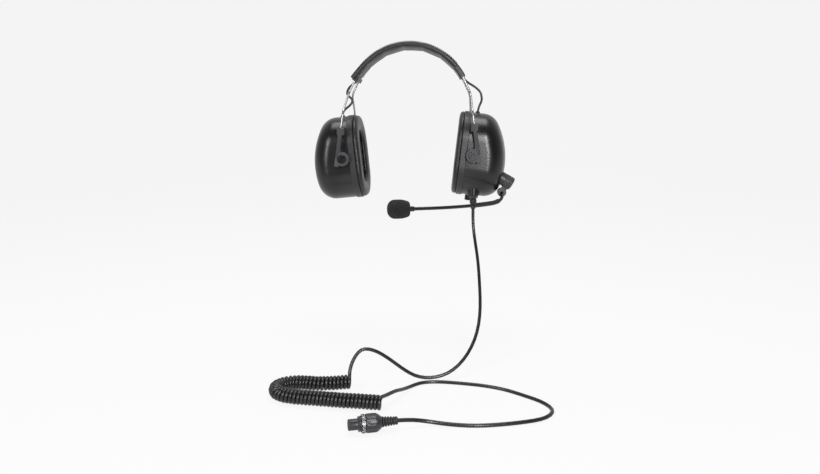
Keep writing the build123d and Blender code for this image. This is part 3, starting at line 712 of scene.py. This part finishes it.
def add_lights():
    """Soft studio light: two tall boxes in front and one overhead, in a room that is paler behind."""
    world = bpy.data.worlds.new("room")
    bpy.context.scene.world = world
    world.use_nodes = True
    background = world.node_tree.nodes["Background"]
    background.inputs["Color"].default_value = (1.0, 1.0, 1.0, 1.0)
    coords = world.node_tree.nodes.new("ShaderNodeTexCoord")
    split = world.node_tree.nodes.new("ShaderNodeSeparateXYZ")
    fade = world.node_tree.nodes.new("ShaderNodeMapRange")
    for key, value in zip(("From Min", "From Max", "To Min", "To Max"), ROOM_FADE):
        fade.inputs[key].default_value = value
    world.node_tree.links.new(coords.outputs["Generated"], split.inputs["Vector"])
    world.node_tree.links.new(split.outputs["Y"], fade.inputs["Value"])
    strength = plain_to_the_eye(world.node_tree, fade.outputs["Result"], ROOM_GLOW)
    world.node_tree.links.new(strength, background.inputs["Strength"])
    for setting in SOFTBOXES:
        softbox(*setting)


add_stage()
add_lights()
bpy.context.scene.view_settings.view_transform = "Standard"

# ---------------------------------------------------------------- head pad
ARCH_Z = 63.0
PAD_LEFT = 40.0
PAD_RIGHT = 153.3
PAD_R = 81.25
PAD_HALF_THICK = 4.75
PAD_HALF_WIDTH = 22.0
PAD_PILLOWS = 6
PAD_STEPS = 240
PAD_ROUND = 44
PAD_FLARE = 3.2
FLARE_START = 0.8
STITCH_ANGLE = 1.25
STITCH_STEP = 2.1
STITCH_RISE = 4.35
STITCH_Y = 18.2
STITCH_HALF_THICK = 0.28
STITCH_HALF_WIDE = 0.32
STITCH_SIDES = 6


def arch_frame(angle):
    """The outward direction at this angle of the arch."""
    return Vector((cos(radians(angle)), 0.0, sin(radians(angle))))


def pad_section(angle, share):
    """One cross-section of the head pad; share runs from 0 at one end to 1 at the other."""
    away = arch_frame(angle)
    bulge = abs(sin(pi * share * PAD_PILLOWS)) ** 0.35
    ends = min(1.0, sqrt(max(0.0, 1.0 - abs(2.0 * share - 1.0) ** 40)) + 0.55)
    flare = PAD_FLARE * max(0.0, (share - FLARE_START) / (1.0 - FLARE_START)) ** 2
    points = []
    for step in range(PAD_ROUND):
        turn = tau * step / PAD_ROUND
        side = sin(turn)
        up = cos(turn)
        across = PAD_HALF_WIDTH * (abs(side) ** 0.45) * (1 if side > 0 else -1)
        rise = PAD_HALF_THICK * (abs(up) ** 0.6) * (1 if up > 0 else -1)
        middle = cos(across / PAD_HALF_WIDTH * pi / 2)
        if up > 0:
            rise *= 0.94 + 0.06 * middle
        else:
            rise *= 0.62 + 0.38 * bulge * max(0.0, middle) ** 0.4
        place = Vector((0, 0, ARCH_Z)) + away * (PAD_R + flare + rise * ends)
        place.y = across * (0.97 + 0.03 * ends)
        ripple = noise.noise(Vector((angle * 0.09, across * 0.06, rise * 0.3))) * 0.35
        place += away * ripple
        points.append(place * MM)
    return points


def make_head_pad():
    """The padded band: smooth on top, quilted in soft pillows below, closed at both ends."""
    points = []
    for step in range(PAD_STEPS + 1):
        share = step / PAD_STEPS
        points += pad_section(PAD_LEFT + (PAD_RIGHT - PAD_LEFT) * share, share)
    faces = grid_faces(PAD_STEPS + 1, PAD_ROUND)
    faces.append(tuple(range(PAD_ROUND)))
    faces.append(tuple(range(PAD_STEPS * PAD_ROUND, (PAD_STEPS + 1) * PAD_ROUND)))
    pad = mesh_object("pad_cover", points, faces)
    finish_piece(pad, "leatherette", "headband")
    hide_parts("head_pad")


make_head_pad()


def stitch_ring(angle, side):
    """The ring of points round a stitch's thread at this angle of the arch."""
    away = arch_frame(angle)
    centre = Vector((0, 0, ARCH_Z)) + away * (PAD_R + STITCH_RISE)
    centre.y = side * STITCH_Y
    ring = []
    for step in range(STITCH_SIDES):
        turn = tau * step / STITCH_SIDES
        point = centre + away * (cos(turn) * STITCH_HALF_THICK)
        point.y += sin(turn) * STITCH_HALF_WIDE
        ring.append(point * MM)
    return ring


def make_pad_stitches():
    """A row of stitches along each edge of the head pad."""
    for side, name in ((-1, "pad_stitches_front"), (1, "pad_stitches_rear")):
        points = []
        faces = []
        angle = PAD_LEFT + 2.0
        while angle < PAD_RIGHT - 2.0:
            base = len(points)
            points += stitch_ring(angle, side) + stitch_ring(angle + STITCH_ANGLE, side)
            start = [base + i for i in range(STITCH_SIDES)]
            end = [base + STITCH_SIDES + i for i in range(STITCH_SIDES)]
            for i in range(STITCH_SIDES):
                following = (i + 1) % STITCH_SIDES
                faces.append((start[i], start[following], end[following], end[i]))
            faces += [tuple(start), tuple(end)]
            angle += STITCH_STEP
        stitches = mesh_object(name, points, faces)
        finish_piece(stitches, "cord_rubber", "headband")


make_pad_stitches()

# ---------------------------------------------------------------- ear cushions
CUP_TILT = 6.0
SEAM_X = 77.5
CUP_RISE = 1.5
RIGHT_DROP = 5.0
WIRE_LEAN = 8.0
RING_FACE = -8.5
CUSHION_FACE = -15.0
CUSHION_STEPS = 160
PUCKERS = 17
CUSHION_OUTER = (89.0, 110.0, 38.0)
CUSHION_HOLE = (47.0, 71.0, 21.5)


def cup_to_world(back, up, out, side):
    """A point in a cup's own directions; side is 1 for the wearer's left and -1 for the right."""
    tilt = radians(CUP_TILT)
    x = SEAM_X + up * sin(tilt) + out * cos(tilt)
    z = up * cos(tilt) - out * sin(tilt)
    if side < 0:
        lean = radians(WIRE_LEAN)
        x += RIGHT_DROP * sin(lean)
        z -= RIGHT_DROP * cos(lean)
    return Vector((side * x, back, z)) * MM


def rounded_outline(width, height, corner, count):
    """Evenly spaced points round a rectangle with round corners."""
    straight_w = width - 2 * corner
    straight_h = height - 2 * corner
    arc = corner * pi / 2
    total = 2 * (straight_w + straight_h) + 4 * arc
    points = []
    for step in range(count):
        d = total * step / count
        for quarter in range(4):
            flat = straight_h if quarter % 2 == 0 else straight_w
            if d < flat:
                local = (width / 2 if quarter % 2 == 0 else height / 2, d - flat / 2)
                break
            d -= flat
            if d < arc:
                angle = d / corner
                half = (straight_w if quarter % 2 == 0 else straight_h) / 2
                local = (half + corner * cos(angle), flat / 2 + corner * sin(angle))
                break
            d -= arc
        x, y = local
        for _ in range(quarter):
            x, y = -y, x
        points.append((x, y))
    return points


CUSHION_PROFILE = [
    (0.03, RING_FACE),
    (-0.02, RING_FACE - 0.6),
    (-0.03, RING_FACE - 2.2),
    (0.0, RING_FACE - 4.2),
    (0.09, RING_FACE - 5.7),
    (0.24, CUSHION_FACE + 0.15),
    (0.48, CUSHION_FACE),
    (0.72, CUSHION_FACE + 0.25),
    (0.90, CUSHION_FACE + 1.2),
    (1.0, CUSHION_FACE + 3.0),
    (1.02, RING_FACE - 1.4),
    (0.97, RING_FACE),
]


def make_cushion(side):
    """A padded ring round the ear, with soft puckers along its inner seam."""
    outer = rounded_outline(*CUSHION_OUTER, CUSHION_STEPS)
    inner = rounded_outline(*CUSHION_HOLE, CUSHION_STEPS)
    points = []
    for index, (edge, hole) in enumerate(zip(outer, inner)):
        pucker = sin(tau * PUCKERS * index / CUSHION_STEPS + 2.0 * sin(0.21 * index))
        for share, out in CUSHION_PROFILE:
            back = edge[0] + (hole[0] - edge[0]) * share
            up = edge[1] + (hole[1] - edge[1]) * share
            sink = 0.22 * max(0.0, share - 0.55) * pucker
            crown = 0.25 * noise.noise(Vector((back * 0.05, up * 0.05, side)))
            depth = out if out >= RING_FACE - 0.7 else out + sink + crown * (1.0 - abs(2 * share - 1.0))
            points.append(cup_to_world(back, up + CUP_RISE, depth, side))
    faces = grid_faces(CUSHION_STEPS, len(CUSHION_PROFILE), wrap_rows=True)
    word = "left" if side > 0 else "right"
    cushion = mesh_object(word + "_cushion_cover", points, faces)
    subdivide(cushion, 1)
    finish_piece(cushion, "leatherette", word + "_cup")
    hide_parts(word + "_ear_cushion")


for side in (1, -1):
    make_cushion(side)

# ---------------------------------------------------------------- microphone foam
MIC_BASE = Vector((13.0, -120.0, -61.0))
MIC_AXIS = Vector((-0.974, -0.225, 0.0)).normalized()
FOAM_R = 11.7
FOAM_LONG = 32.4
FOAM_NOSE = 9.5
NOSE_STEPS = 14
FOAM_PROFILE = [
    (5.6, 3.4),
    (5.1, 6.2),
    (5.2, 7.6),
    (5.9, 8.7),
    (7.2, 9.5),
    (9.0, 10.1),
    (11.0, 10.7),
    (13.0, 11.2),
    (15.0, 11.5),
    (17.0, 11.65),
    (20.0, 11.7),
]
NECK_PROFILE = [
    (-1.0, 2.2),
    (-0.6, 2.8),
    (0.4, 3.1),
    (5.0, 3.2),
    (6.5, 4.5),
    (8.0, 6.3),
    (20.0, 6.4),
]


def foam_relief(distance, turn, radius, place):
    """The foam's surface is slightly lumpy."""
    return radius + 0.16 * noise.noise(place * 0.9) + 0.10 * noise.noise(place * 2.3)


def make_windscreen():
    """The microphone's foam cover, and the neck on which it is pushed."""
    profile = list(FOAM_PROFILE)
    for step in range(1, NOSE_STEPS + 1):
        angle = pi / 2 * step / NOSE_STEPS
        ahead = FOAM_LONG - FOAM_NOSE * (1 - sin(angle))
        profile.append((ahead, FOAM_R - FOAM_NOSE * (1 - cos(angle))))
    foam = lathe("windscreen_foam", MIC_BASE, MIC_AXIS, profile, 72, foam_relief)
    subdivide(foam, 1)
    finish_piece(foam, "mic_foam", "boom")
    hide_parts("mic_windscreen")
    neck = lathe("microphone_neck", MIC_BASE, MIC_AXIS, NECK_PROFILE, 48)
    finish_piece(neck, "black_plastic", "boom")
    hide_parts("mic_housing")


make_windscreen()

# ---------------------------------------------------------------- crossover leads
LEAD_R = 1.5
LEAD_STRIDE = 4
LEAD_ARCH_R = 81.5
ENTRY_UP = 59.0
ENTRY_OUT = 9.0


def arch_place(angle, radius):
    """A point at this angle and radius of the arch."""
    return Vector((0, 0, ARCH_Z)) + arch_frame(angle) * radius


LEFT_LEAD = [
    arch_place(29.0, LEAD_ARCH_R),
    (76.5, -0.5, 96.5),
    (87.0, -1.0, 91.5),
    (96.5, -1.5, 83.5),
    (98.5, -1.0, 72.0),
    cup_to_world(0.0, ENTRY_UP + 7.0, ENTRY_OUT, 1) / MM,
    cup_to_world(0.0, ENTRY_UP, ENTRY_OUT, 1) / MM,
]
RIGHT_LEAD = [
    arch_place(154.5, LEAD_ARCH_R),
    (-79.5, 0.0, 94.5),
    (-86.0, 0.0, 88.0),
    (-87.5, 0.0, 80.0),
    (-80.0, 0.0, 76.0),
    (-79.0, 0.0, 70.5),
    (-84.5, -0.6, 64.5),
    cup_to_world(0.0, ENTRY_UP + 6.0, ENTRY_OUT, -1) / MM,
    cup_to_world(0.0, ENTRY_UP, ENTRY_OUT, -1) / MM,
]


def make_lead(name, route, cad_node):
    """A crossover lead in two lengths, split at the middle point of its route."""
    line = curve_line(in_metres(route))
    half = len(line) // 2
    upper = tube_mesh(name + "_upper", line[: half + 1 : LEAD_STRIDE] + [line[half]], LEAD_R * MM)
    rest = line[half + LEAD_STRIDE :: LEAD_STRIDE]
    lower = tube_mesh(name + "_lower", [line[half]] + rest + [line[-1]], LEAD_R * MM)
    finish_piece(upper, "cord_rubber")
    finish_piece(lower, "cord_rubber")
    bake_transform(upper)
    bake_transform(lower)
    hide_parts(cad_node)


make_lead("left_crossover", LEFT_LEAD, "left_lead")
make_lead("right_crossover", RIGHT_LEAD, "right_lead")
